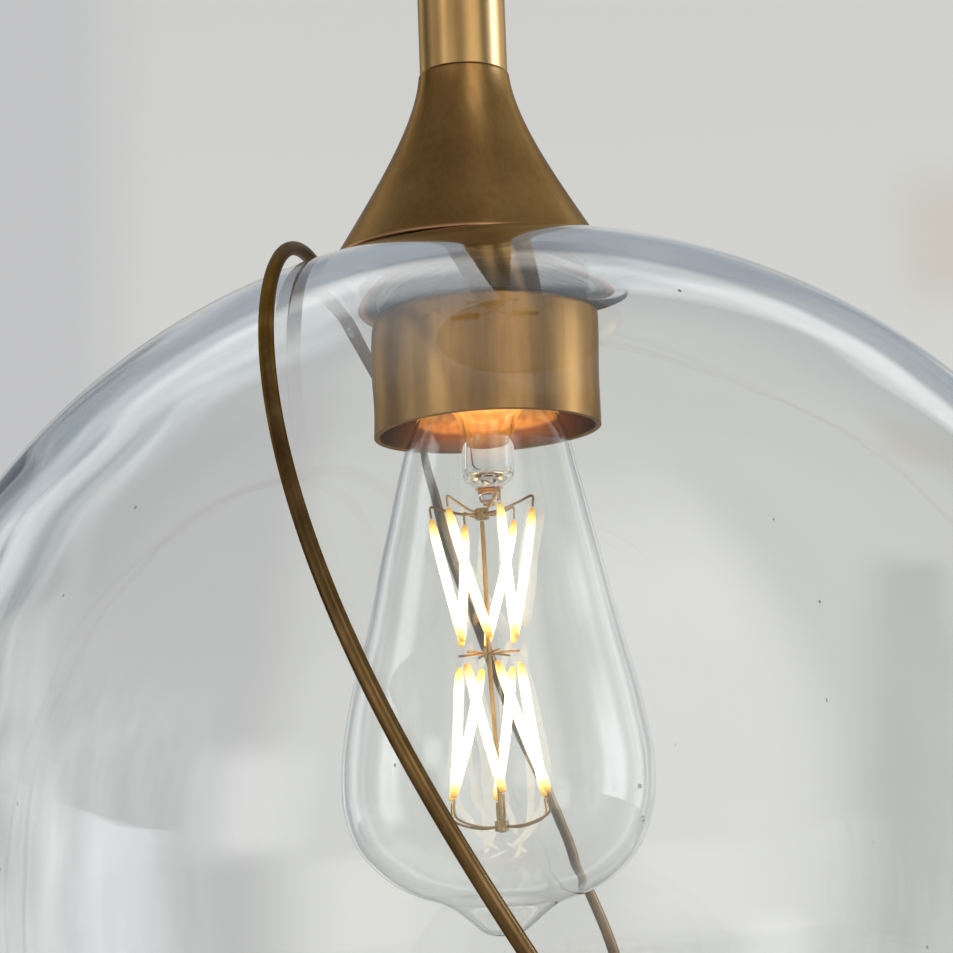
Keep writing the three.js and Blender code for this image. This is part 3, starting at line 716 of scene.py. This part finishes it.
def globe():
    """The wall turns once round its own section: seat, outside, lip of the mouth, wavy inside, hole."""
    origin = Vector((0, 0, 0))
    seat_height = 130.6 * MM
    bore_top = round_ring(HOLE_RADIUS, seat_height - 0.4 * MM, ROD_AXIS)
    bore_edge = round_ring(HOLE_RADIUS + 0.4 * MM, seat_height, ROD_AXIS)
    seat_edge = []
    for point in round_ring(SEAT_RADIUS, 0, ROD_AXIS):
        reach = math.hypot(point.x, point.y)
        most = math.sqrt(GLOBE_RADIUS**2 - seat_height**2) * 0.9995
        keep = min(1, most / reach)
        seat_edge.append(Vector((point.x * keep, point.y * keep, seat_height)))
    outer_top = [on_ball(p, GLOBE_RADIUS, origin, 1) for p in seat_edge]
    mouth = round_ring(MOUTH_RADIUS + 1 * MM, 0, origin)
    outer_lip = [on_ball(p, GLOBE_RADIUS, origin, -1) for p in mouth]
    inner_lip = [on_ball(p, BORE, BORE_SHIFT, -1) for p in mouth]
    rings = [bore_top, bore_edge, seat_edge, outer_top]
    rings += sweep_rings(outer_top, outer_lip, GLOBE_RADIUS, origin, SWEEP_STEPS) + [outer_lip]
    for k in range(1, 8):
        swing = 0.42 * math.sin(math.pi * k / 8)
        lip = []
        for a, b in zip(outer_lip, inner_lip):
            inward = Vector((-a.x, -a.y, 0)).normalized()
            lip.append(a.lerp(b, k / 8) + inward * (a - b).length * swing)
        rings.append(lip)
    hole_low = [on_ball(p, BORE, BORE_SHIFT, 1) for p in round_ring(HOLE_RADIUS + 0.4 * MM, 0, ROD_AXIS)]
    inside = [inner_lip] + sweep_rings(inner_lip, hole_low, BORE, BORE_SHIFT, SWEEP_STEPS) + [hole_low]
    rings += [[wavy(p) for p in ring] for ring in inside]
    hole_edge = round_ring(HOLE_RADIUS, 0, ROD_AXIS)
    rings.append([Vector((p.x, p.y, q.z + 0.4 * MM)) for p, q in zip(hole_edge, hole_low)])
    bm = skin([[p + CENTRE for p in ring] for ring in rings], True)
    bmesh.ops.recalc_face_normals(bm, faces=bm.faces)
    for _ in range(SEEDS):
        seed(bm)
    show(bm, "globe", sharp=40, flip=False)


def seed(bm):
    """A small bubble in the wall: an inner skin that faces the other way."""
    turn, rise = DICE.uniform(0, 2 * math.pi), DICE.uniform(-0.75, 0.8)
    flat = math.sqrt(1 - rise * rise)
    way = Vector((flat * math.cos(turn), flat * math.sin(turn), rise))
    inner = (BORE_SHIFT + way * BORE).length
    radius = min(DICE.uniform(0.12, 0.34) * MM, (GLOBE_RADIUS - inner) * 0.2)
    middle = CENTRE + way * (GLOBE_RADIUS - (GLOBE_RADIUS - inner) * DICE.uniform(0.35, 0.6))
    made = bmesh.ops.create_icosphere(bm, subdivisions=2, radius=radius)
    stretch = Matrix.Diagonal((1, 1, DICE.uniform(1.0, 2.2), 1))
    bmesh.ops.transform(bm, matrix=Matrix.Translation(middle) @ stretch, verts=made["verts"])
    faces = {face for vert in made["verts"] for face in vert.link_faces}
    bmesh.ops.reverse_faces(bm, faces=list(faces))


# ---------------------------------------------------------------- ring
RING_RADIUS = 137.5 * MM


def ring_point(degrees, reach=RING_RADIUS):
    """The bent hoop: a circle about the globe that leans, turns, bows to one side and has two slow waves."""
    lean, turn, a = math.radians(20.5), math.radians(-3.3), math.radians(degrees)
    normal = Vector((math.cos(lean) * math.cos(turn), math.cos(lean) * math.sin(turn), math.sin(lean)))
    across = normal.cross(Vector((0, 0, 1))).normalized()
    rise = across.cross(normal)
    wave = 3.9 - 2.4 * math.cos(2 * a) - 6.7 * math.sin(2 * a) - 3.1 * math.cos(3 * a) - 3.0 * math.sin(3 * a)
    way = across * math.cos(a) + rise * math.sin(a) + normal * (wave * MM / RING_RADIUS)
    return CENTRE + way.normalized() * reach


def ring():
    wire = 1.42 * MM
    ends = 0.12
    path = [ring_point(-90 + ends + (360 - 2 * ends) * i / 720) for i in range(721)]
    show(tube(path, wire, 20), "ring")
    sleeve = [ring_point(-93 + 6 * i / 24) for i in range(25)]
    radii = [wire + 0.9 * MM] * 25
    for i in (0, 24):
        radii[i] -= 0.35 * MM  # chamfered ends
    for i in (1, 23, 8, 9, 15, 16):
        radii[i] -= 0.12 * MM  # two crimps
    show(tube(sleeve, radii, 28), "ring_sleeve")
    inner = RING_RADIUS - wire - 0.9 * MM
    path = [ring_point(91 + 2.4 * i / 12, inner) for i in range(13)]
    radii = [0.55 * MM * math.sin(math.pi * (0.12 + 0.76 * i / 12)) ** 0.5 for i in range(13)]
    show(tube(path, radii, 16), "ring_bumper")


# ---------------------------------------------------------------- bulb
BULB_OUTLINE = [
    (0, -9.6), (3.4, -9.1), (6.2, -7), (10.8, -3.2), (16.8, -0.9), (23, 2.8), (28.6, 8.8), (31.4, 16.2),
    (32, 23.5), (31.5, 30), (29.5, 40), (26.3, 53), (23.4, 68), (20.3, 80), (17.6, 92), (15.6, 98.5),
    (13.2, 103.6), (11.6, 107), (11.6, 110),
]


def bulb_glass():
    wall, steps = 0.6, 6
    mirrored = (-BULB_OUTLINE[1][0], BULB_OUTLINE[1][1])  # makes the path level where it crosses the axis
    line = smooth_path([Vector((r, z, 0)) for r, z in [mirrored] + BULB_OUTLINE], steps)[steps:]
    outside, inside = [], []
    for i, point in enumerate(line):
        along = (line[min(i + 1, len(line) - 1)] - line[max(i - 1, 0)]).normalized()
        if i == 0:
            outside.append((0, point.y))
            inside.append((0, point.y + wall))
        else:
            outside.append((max(0, point.x), point.y))
            inside.append((max(0.02, point.x - along.y * wall), point.y + along.x * wall))
    show(lathe(millimetres(outside + inside[::-1], CENTRE.z), 160, 0), "bulb_envelope", sharp=60)
    stem = [(0, 78.6), (1.2, 78.7), (2, 79.4), (2.4, 81.6), (3.6, 82.6), (5.2, 83.8), (5.6, 86), (5.6, 94),
            (6.2, 98), (7.4, 100.5), (9.4, 102.8), (11, 104.6), (11, 105.6), (10.2, 105.6), (8.7, 103.5),
            (6.6, 101), (5.3, 98.3), (4.7, 94), (4.7, 87), (4.2, 85.4), (2.8, 84.4), (1.2, 83.8), (0, 83.6)]
    show(lathe(millimetres(stem, CENTRE.z), 72, 0.4), "bulb_glass_stem", sharp=60)


def base():
    crown = [(12.4, 127.4), (9.6, 128.6), (8.9, 128.2), (11.6, 127)]
    show(threaded(13.1, 0.55, 0.5, 107.6, 126, 5, crown), "bulb_shell")


CAGE = (Matrix.Translation((0, 0, level(18.7))) @ Matrix.Rotation(math.radians(-1.6), 4, "Y")
        @ Matrix.Translation((0, 0, -18.7 * MM)))


def at(radius, degrees, height):
    """A point of the filament cage, which leans slightly about its lower end."""
    a = math.radians(degrees)
    return CAGE @ Vector((radius * math.cos(a) * MM, radius * math.sin(a) * MM, height * MM))


def filaments():
    tiers = (("upper", (11, 52, 77.2), (6.3, 95, 50.3)), ("lower", (6.5, 45, 45.4), (11, 95, 18.7)))
    for tier, top, low in tiers:
        for k in range(6):
            a = at(low[0], low[1] + 60 * k, low[2])
            b = at(top[0], top[1] + 60 * k, top[2])
            steps = 14
            path = [a.lerp(b, i / steps) for i in range(steps + 1)]
            radii = [0.55 * MM, 0.9 * MM] + [MM] * (steps - 3) + [0.9 * MM, 0.55 * MM]
            show(tube(path, radii, 16, 0.15 * MM), f"filament_{tier}_{k + 1}")


def supports():
    fine = 0.25 * MM
    hub = tube([at(0, 0, 76.4), at(0, 0, 77.3), at(0, 0, 78.2)], 1.5 * MM, 20, 0.1 * MM)
    parts = [hub]
    for k in range(6):
        end = 52 + 60 * k
        bent = [at(0, 0, 77.3), at(4, end, 77.6), at(8, end, 78.7), at(11, end, 79.6), at(11, end, 77.6)]
        parts.append(tube(smooth_path(bent, 4), fine, 8))
    show(joined(*parts), "bulb_upper_supports")
    parts = [tube([at(0, 0, 13), at(0, 0, 45), at(0, 0, 76)], 0.5 * MM, 12),
             tube([at(0, 0, 11.6), at(0, 0, 12.6), at(0, 0, 13.6)], 1.4 * MM, 20, 0.3 * MM)]
    for k in range(6):
        spoke = 50 + 60 * k
        parts.append(tube([at(0, 0, 47.9), at(3, spoke, 48.0), at(6.4, spoke, 47.9)], fine, 8))
        end = 95 + 60 * k
        bent = [at(0, 0, 12.6), at(4, end, 12.4), at(8, end, 13.2), at(10.9, end, 14.8), at(11, end, 18.2)]
        parts.append(tube(smooth_path(bent, 4), fine, 8))
    show(joined(*parts), "bulb_lower_supports")


# ---------------------------------------------------------------- everything, then the room
ceiling_end()
yoke()
knuckle()
for name in ("shown_canopy", "shown_crossbar", "shown_swivel_yoke", "shown_cap_nut_1", "shown_cap_nut_2"):
    bpy.data.objects[name].visible_glossy = False  # the photograph's globe mirrors no canopy
rod()
holder()
globe()
ring()
bulb_glass()
base()
filaments()
supports()
for node, obj in frame["nodes"].items():
    if not obj.hide_render:
        obj.data.materials.clear()
        obj.data.materials.append(LOOKS[SLOT_OF[node]])

# The photograph's camera: 0.59 m in front of the globe's centre, looking up by 10.7 degrees
camera = bpy.data.objects.new("camera", bpy.data.cameras.new("camera"))
bpy.context.scene.collection.objects.link(camera)
bpy.context.scene.camera = camera
yaw, pitch, roll = -0.012497, 0.186260, -0.036791  # radians
forward = Vector((math.sin(yaw) * math.cos(pitch), math.cos(yaw) * math.cos(pitch), math.sin(pitch)))
right = Vector((math.cos(yaw), -math.sin(yaw), 0))
up = right.cross(forward)
tilted_right = right * math.cos(roll) + up * math.sin(roll)
tilted_up = up * math.cos(roll) - right * math.sin(roll)
turn = Matrix((tilted_right, tilted_up, -forward)).transposed().to_4x4()
camera.matrix_world = Matrix.Translation(CENTRE + Vector((0, -593.525, -26.43)) * MM) @ turn
camera.data.sensor_width = 36
camera.data.lens = 110.35
camera.data.clip_start = 0.01
camera.data.clip_end = 60


# ---------------------------------------------------------------- light
class World(Nodes):
    """The room's soft light, painted by direction: a pale backdrop, soft panels, and darker gaps."""

    def __init__(self):
        self.world = bpy.data.worlds.new("studio")
        bpy.context.scene.world = self.world
        self.world.use_nodes = True
        self.tree = self.world.node_tree
        self.tree.nodes.clear()
        self.out = self.add("ShaderNodeOutputWorld")
        self.place = self.add("ShaderNodeTexCoord").outputs["Generated"]
        split = self.add("ShaderNodeSeparateXYZ")
        self.link(self.place, split.inputs[0])
        self.x, self.y, self.rise = split.outputs

    def away(self, degrees):
        """How far round from that azimuth a direction is, in degrees. 0 is +Y and 90 is +X."""
        a = math.radians(degrees)
        along = self.maths("ADD", self.maths("MULTIPLY", self.x, math.sin(a)),
                           self.maths("MULTIPLY", self.y, math.cos(a)))
        across = self.maths("SUBTRACT", self.maths("MULTIPLY", self.x, math.cos(a)),
                            self.maths("MULTIPLY", self.y, math.sin(a)))
        turn = self.maths("ARCTAN2", self.maths("ABSOLUTE", across), along)
        return self.maths("MULTIPLY", turn, 180 / math.pi)

    def off_axis(self, axis):
        """How far a direction is from that one, in degrees."""
        node = self.add("ShaderNodeVectorMath", operation="DOT_PRODUCT")
        self.link(self.place, node.inputs[0])
        node.inputs[1].default_value = axis
        return self.maths("MULTIPLY", self.maths("ARCCOSINE", node.outputs["Value"]), 180 / math.pi)

    def band(self, value, middle, half, soft):
        """1 within half of middle, 0 outside it, and smooth between."""
        distance = self.maths("ABSOLUTE", self.maths("SUBTRACT", value, middle))
        return self.window(distance, half - soft, half + soft)

    def window(self, value, near, far):
        """1 below near, 0 above far, and smooth between."""
        node = self.add("ShaderNodeMapRange", interpolation_type="SMOOTHSTEP")
        for socket, number in zip(("From Min", "From Max", "To Min", "To Max"), (near, far, 1, 0)):
            node.inputs[socket].default_value = number
        self.link(value, node.inputs["Value"])
        return node.outputs["Result"]

    def panel(self, base, azimuth, half_width, low, high, color, soft=4):
        """Lays a soft-edged panel of light over base. low and high are heights of direction, -1 to 1."""
        sideways = self.window(self.away(azimuth), half_width - soft, half_width + soft)
        middle, half = (low + high) / 2, (high - low) / 2
        up = self.window(self.maths("ABSOLUTE", self.maths("SUBTRACT", self.rise, middle)),
                         half - soft / 60, half + soft / 60)
        return self.mixed(self.maths("MULTIPLY", sideways, up), base, color)

    def finish(self, color):
        back = self.add("ShaderNodeBackground")
        self.link(color, back.inputs["Color"])
        self.link(back.outputs[0], self.out.inputs[0])


def backdrop(w):
    """The wall behind the light, with its greyer strip, its grey-green streak and its warm patch."""
    height = w.remap(w.rise, 0, 1, -1, 1)
    pale = w.ramp(height, (0.0, (0.40, 0.41, 0.42)), (0.42, (0.63, 0.635, 0.61)),
                  (0.6, (0.66, 0.665, 0.64)), (1.0, (0.42, 0.43, 0.43)))
    behind = w.ramp(height, (0.0, (0.13, 0.14, 0.15)), (0.5, (0.42, 0.43, 0.43)),
                    (0.64, (0.62, 0.62, 0.60)), (0.8, (0.30, 0.30, 0.29)), (1.0, (0.22, 0.22, 0.22)))
    base = w.mixed(w.window(w.away(0), 55, 95), behind, pale)
    base = w.panel(base, -24, 16.2, -2, 2, (0.55, 0.552, 0.56), 1.1)
    base = w.panel(base, 6.6, 1.0, -0.05, 0.175, (0.52, 0.545, 0.515), 0.7)
    return w.panel(base, 10.2, 2.2, 0.235, 0.275, (0.60, 0.575, 0.52), 0.8)


def rim_light(w, base):
    """
    What the globe's thick rim shows: rings of light about the line from the camera to the globe's centre,
    kept out of the picture itself. About 30 degrees off that line shows in the rim's outer part, and 50
    degrees at its inner edge.
    """
    around_globe = w.off_axis((CENTRE - camera.location).normalized())
    unseen = w.maths("SUBTRACT", 1, w.window(w.off_axis(forward), 13, 16))
    overhead = w.maths("SUBTRACT", 1, w.window(w.rise, 0.3, 0.62))

    def circled(middle, half, soft, color, amount):
        cover = w.maths("MULTIPLY", w.band(around_globe, middle, half, soft), amount)
        return w.mixed(w.maths("MULTIPLY", unseen, cover), base, color)

    clutter = w.ramp(w.noise(1, 3, 0.6, w.stretched((7, 7, 3))), (0.38, (0.30, 0.34, 0.37)),
                     (0.5, (0.55, 0.57, 0.57)), (0.62, (0.82, 0.85, 0.85)))
    base = circled(31, 17, 4, clutter, 1)
    base = circled(32, 4, 2, (0.25, 0.30, 0.35), 0.75)
    base = circled(42, 28, 5, (0.36, 0.40, 0.44), overhead)
    return circled(50, 4, 2, (1.3, 1.33, 1.32), 0.85)


def studio_world():
    w = World()
    base = rim_light(w, backdrop(w))
    base = w.panel(base, 84, 12, -0.6, 0.4, (3.0, 3.1, 3.3), 6)
    base = w.panel(base, 122, 7, -2, 0.9, (0.08, 0.10, 0.09), 4)
    base = w.panel(base, 152, 18, -0.2, 0.85, (1.7, 1.68, 1.62), 8)
    base = w.panel(base, -133, 9, 0.08, 0.33, (2.6, 2.6, 2.55), 3)
    streaks = w.noise(1, 4, 0.6, w.stretched((9, 9, 1.6)))
    bright_room = w.ramp(streaks, (0.46, (0.34, 0.35, 0.36)), (0.74, (1.7, 1.7, 1.65)))
    base = w.panel(base, -104, 20, -0.3, 0.45, bright_room, 7)
    base = w.panel(base, -150, 11, -0.4, 0.6, (0.95, 0.94, 0.9), 6)
    base = w.panel(base, -74, 12, -2, 0.9, (0.14, 0.15, 0.17), 5)
    w.finish(base)


def softbox(name, place, size, power, color, sharp=True):
    """A studio lamp. One that isn't sharp leaves no mirror image in the glass."""
    data = bpy.data.lights.new(name, "AREA")
    data.shape = "RECTANGLE"
    data.size, data.size_y = size
    data.energy = power
    data.color = color
    lamp = bpy.data.objects.new(name, data)
    bpy.context.scene.collection.objects.link(lamp)
    lamp.location = Vector(place) + CENTRE
    lamp.rotation_mode = "QUATERNION"
    lamp.rotation_quaternion = (lamp.location - CENTRE).to_track_quat("Z", "Y")
    lamp.visible_camera = lamp.visible_transmission = False
    lamp.visible_glossy = sharp
    return lamp


def room():
    n = Nodes("pale_floor")
    tone = n.ramp(n.noise(1.5, 4), (0.3, (0.60, 0.60, 0.58)), (0.7, (0.64, 0.64, 0.62)))
    look = n.show(n.surface(Base_Color=tone, Roughness=0.7, Normal=n.bump(n.noise(90, 3), 0.08, 0.001)))
    bm = bmesh.new()
    bmesh.ops.create_grid(bm, x_segments=8, y_segments=8, size=6)
    mesh = bpy.data.meshes.new("floor")
    bm.to_mesh(mesh)
    bm.free()
    mesh.materials.append(look)
    floor = bpy.data.objects.new("floor", mesh)
    floor.location.z = -1.6
    bpy.context.scene.collection.objects.link(floor)


studio_world()
room()
# The blue window on the right lights only the metal, and leaves the globe as it is
window_lamp = softbox("window_right", (1.7, -0.02, 0.25), (0.5, 1.6), 18, (0.42, 0.60, 1.0))
metals = bpy.data.collections.new("metals")
for piece in bpy.context.scene.collection.objects:
    if piece.type == "MESH" and piece.data.materials and piece.data.materials[0] in METALS:
        metals.objects.link(piece)
window_lamp.light_linking.receiver_collection = metals
softbox("fill_front", (-0.6, -2.2, 1.0), (1.6, 1.2), 12, (1.0, 0.98, 0.95), sharp=False)
softbox("top", (0.3, 0.3, 2.0), (1.8, 1.8), 24, (1.0, 0.99, 0.97), sharp=False)
glow = bpy.data.lights.new("filament_glow", "POINT")
glow.energy = 0.035
glow.color = (1.0, 0.62, 0.28)
glow.shadow_soft_size = 12 * MM
lamp = bpy.data.objects.new("filament_glow", glow)
bpy.context.scene.collection.objects.link(lamp)
lamp.location = (0, 0, level(52))
lamp.visible_camera = lamp.visible_glossy = lamp.visible_transmission = False
lamp.parent = frame["bodies"]["bulb"]

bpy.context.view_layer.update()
view = bpy.context.scene.view_settings
view.view_transform = "Standard"
